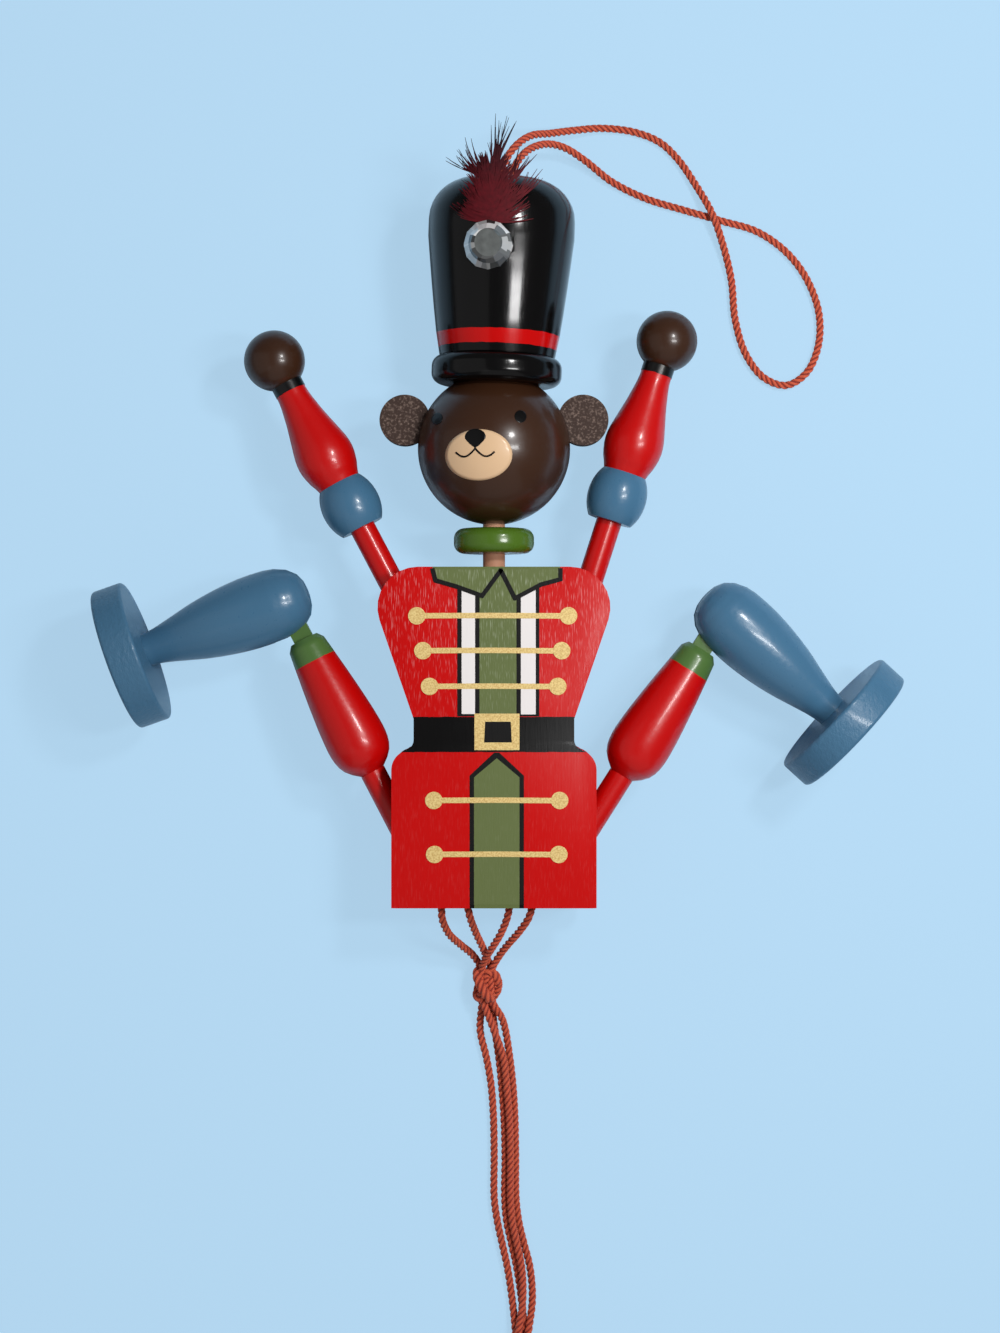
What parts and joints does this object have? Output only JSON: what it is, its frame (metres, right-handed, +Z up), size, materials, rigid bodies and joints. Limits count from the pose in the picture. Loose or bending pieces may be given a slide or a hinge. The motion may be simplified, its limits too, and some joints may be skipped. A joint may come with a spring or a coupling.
{
  "type": "pull-string jumping jack",
  "caption": "Wooden bear in a soldier's coat and tall hat, whose jointed arms and legs fly up when the string below it is pulled.",
  "frame": {"origin": "on the table that the toy lies on, under the middle of the part without its loose cords, which is just below the chin", "axes": "+X to the right in the picture, +Y from the pull string towards the hat, +Z up from the table and out of the painted front"},
  "size_m": [0.2023, 0.3193, 0.0409],
  "materials": {
    "body_paint": "satin paint with painted coat",
    "bare_wood": "bare",
    "neck_paint": "thin paint",
    "collar_paint": "satin paint",
    "bear_brown": "satin paint",
    "ear_brown": "rough paint",
    "hat_black": "satin paint",
    "clear_stone": "cut and clear",
    "feather": "matt",
    "coat_red": "gloss paint",
    "trouser_blue": "satin paint",
    "cord": "twisted"
  },
  "bodies": {
    "torso": {"front_board": "body_paint", "back_board": "body_paint", "neck_block": "bare_wood", "middle_block": "bare_wood", "left_shoulder_pin": "bare_wood", "right_shoulder_pin": "bare_wood", "left_hip_pin": "bare_wood", "right_hip_pin": "bare_wood", "neck_dowel": "neck_paint", "collar_bead": "collar_paint", "head": "bear_brown", "left_ear": "ear_brown", "right_ear": "ear_brown", "hat": "hat_black", "cut_stone": "clear_stone", "feather": "feather", "hanging_cord": "cord"},
    "left_arm": {"left_arm_rod": "coat_red", "left_elbow_bead": "trouser_blue", "left_sleeve": "coat_red", "left_hand": "bear_brown"},
    "right_arm": {"right_arm_rod": "coat_red", "right_elbow_bead": "trouser_blue", "right_sleeve": "coat_red", "right_hand": "bear_brown"},
    "left_upper_leg": {"left_thigh": "coat_red"},
    "right_upper_leg": {"right_thigh": "coat_red"},
    "left_lower_leg": {"left_shin": "trouser_blue", "left_foot": "trouser_blue", "left_knee_pin": "bare_wood"},
    "right_lower_leg": {"right_shin": "trouser_blue", "right_foot": "trouser_blue", "right_knee_pin": "bare_wood"},
    "pull_cord": {"left_arm_string": "cord", "right_arm_string": "cord", "left_leg_string": "cord", "right_leg_string": "cord", "pull_cord_a": "cord", "pull_cord_b": "cord", "pull_cord_c": "cord", "pull_cord_d": "cord", "pull_knot": "cord", "end_knot": "cord"}
  },
  "joints": [
    {"name": "left_hip", "type": "hinge", "parent": "torso", "child": "left_upper_leg", "pos_m": [-0.0211, -0.0806, 0.018], "axis": [0, 0, 1], "range_deg": [0, 152.5]},
    {"name": "right_hip", "type": "hinge", "parent": "torso", "child": "right_upper_leg", "pos_m": [0.0211, -0.0806, 0.018], "axis": [0, 0, 1], "range_deg": [-147.8, 0]},
    {"name": "left_shoulder", "type": "hinge", "parent": "torso", "child": "left_arm", "pos_m": [-0.0211, -0.02425, 0.018], "axis": [0, 0, 1], "range_deg": [0, 132.4]},
    {"name": "right_shoulder", "type": "hinge", "parent": "torso", "child": "right_arm", "pos_m": [0.0211, -0.02425, 0.018], "axis": [0, 0, 1], "range_deg": [-142.4, 0]},
    {"name": "left_knee", "type": "hinge", "parent": "left_upper_leg", "child": "left_lower_leg", "pos_m": [-0.0525, -0.02028, 0.018], "axis": [0, 0, 1], "range_deg": [-82.1, 0]},
    {"name": "right_knee", "type": "hinge", "parent": "right_upper_leg", "child": "right_lower_leg", "pos_m": [0.05754, -0.02319, 0.018], "axis": [0, 0, 1], "range_deg": [0, 100.2]},
    {"name": "pull_slide", "type": "slide", "parent": "torso", "child": "pull_cord", "axis": [0, 1, 0], "range_m": [0, 0.0114], "deforming": ["left_arm_string", "right_arm_string", "left_leg_string", "right_leg_string", "pull_cord_a", "pull_cord_b", "pull_cord_c", "pull_cord_d"]}
  ],
  "couplings": [
    {"joint": "right_hip", "follows": "left_hip", "ratio": -0.96787},
    {"joint": "left_shoulder", "follows": "left_hip", "ratio": 0.86689},
    {"joint": "right_shoulder", "follows": "left_hip", "ratio": -0.93246},
    {"joint": "left_knee", "follows": "left_hip", "ratio": -0.5377},
    {"joint": "right_knee", "follows": "left_hip", "ratio": 0.65639},
    {"joint": "pull_slide", "follows": "left_hip", "m_per_rad": 0.004208}
  ]
}
